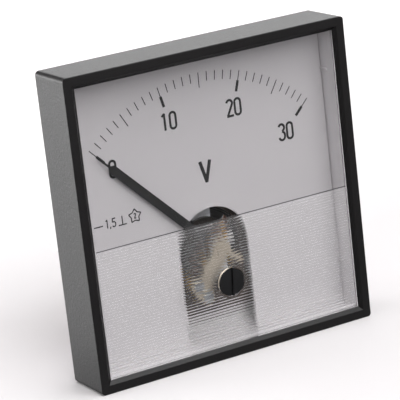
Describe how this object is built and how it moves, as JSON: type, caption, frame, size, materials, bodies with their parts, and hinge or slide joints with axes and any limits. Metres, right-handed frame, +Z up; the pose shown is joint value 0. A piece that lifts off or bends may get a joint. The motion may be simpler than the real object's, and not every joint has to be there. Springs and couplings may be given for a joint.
{
  "type": "analog panel meter",
  "caption": "Square moving-coil panel voltmeter with a clear window ribbed over its lower half, a quarter-circle scale, a front zero adjuster and a round rear barrel with stud terminals.",
  "frame": {"origin": "centre of the barrel on the plane of the panel's face, which is the back of the bezel", "axes": "+X to the right as seen from the front, +Y into the panel along the barrel, +Z up"},
  "size_m": [0.072, 0.0568, 0.072],
  "materials": {
    "bezel_moulding": "black moulded ABS with a fine even grain",
    "clear_window": "clear polycarbonate, polished above and ribbed below",
    "white_moulding": "off-white moulded ABS",
    "dial_paint": "matt white enamel on aluminium sheet",
    "black_knob": "black moulded plastic",
    "black_paint": "matt black paint on aluminium",
    "brass": "turned and stamped brass",
    "bronze": "phosphor-bronze spring strip",
    "aluminium": "bare aluminium",
    "copper_wire": "copper wire in dark enamel",
    "pivot_steel": "hardened and polished steel",
    "soft_iron": "blackened soft iron",
    "magnet_alloy": "ground magnet alloy",
    "nickel_bridge": "stamped and nickel-plated brass",
    "zinc_steel": "bright zinc-plated steel",
    "tinned_brass": "tinned brass",
    "phenolic_sheet": "dark brown resin-bonded paper sheet",
    "resistor_enamel": "blue-grey lacquer over a ceramic body, with tinned leads",
    "blue_insulation": "blue PVC insulation"
  },
  "bodies": {
    "case": {"bezel_frame": "bezel_moulding", "window": "clear_window", "case": "white_moulding", "dial_plate": "dial_paint", "rear_hairspring": "bronze", "front_bridge": "nickel_bridge", "bridge_pillars": "brass", "bridge_screws": "zinc_steel", "front_jewel_screw": "nickel_bridge", "rear_bridge": "nickel_bridge", "rear_bridge_screws": "zinc_steel", "rear_jewel_screw": "brass", "rear_spring_anchor": "brass", "magnet": "magnet_alloy", "left_pole_piece": "soft_iron", "right_pole_piece": "soft_iron", "core": "soft_iron", "core_bracket": "aluminium", "core_screws": "zinc_steel", "movement_plate": "phenolic_sheet", "pole_screws": "zinc_steel", "plate_screws": "zinc_steel", "series_resistor": "resistor_enamel", "negative_lead": "blue_insulation", "fixing_studs": "zinc_steel", "terminal_studs": "brass", "terminal_nuts": "brass", "terminal_washers": "zinc_steel", "solder_tags": "tinned_brass"},
    "moving_coil": {"pointer": "black_paint", "balance_cross": "nickel_bridge", "balance_weights": "brass", "front_staff": "pivot_steel", "rear_staff": "pivot_steel", "coil_former": "aluminium", "coil_winding": "copper_wire"},
    "zero_adjuster": {"zero_adjuster": "black_knob"},
    "zero_lever": {"zero_lever": "tinned_brass", "front_hairspring": "bronze"}
  },
  "joints": [
    {"name": "pointer_swing", "type": "hinge", "parent": "case", "child": "moving_coil", "pos_m": [0, -0.0057, -0.0115], "axis": [0, 1, 0], "range_deg": [-3, 93], "stiffness_Nm_per_rad": 0.00001, "deforming": ["front_hairspring", "rear_hairspring"]},
    {"name": "zero_adjuster_turn", "type": "hinge", "parent": "case", "child": "zero_adjuster", "pos_m": [0, -0.0124, -0.01865], "axis": [0, 1, 0], "range_deg": [-60, 60]},
    {"name": "zero_lever_turn", "type": "hinge", "parent": "case", "child": "zero_lever", "pos_m": [0, -0.008, -0.0115], "axis": [0, 1, 0], "range_deg": [-8, 8]}
  ],
  "couplings": [
    {"joint": "zero_lever_turn", "follows": "zero_adjuster_turn", "ratio": 0.12729}
  ]
}
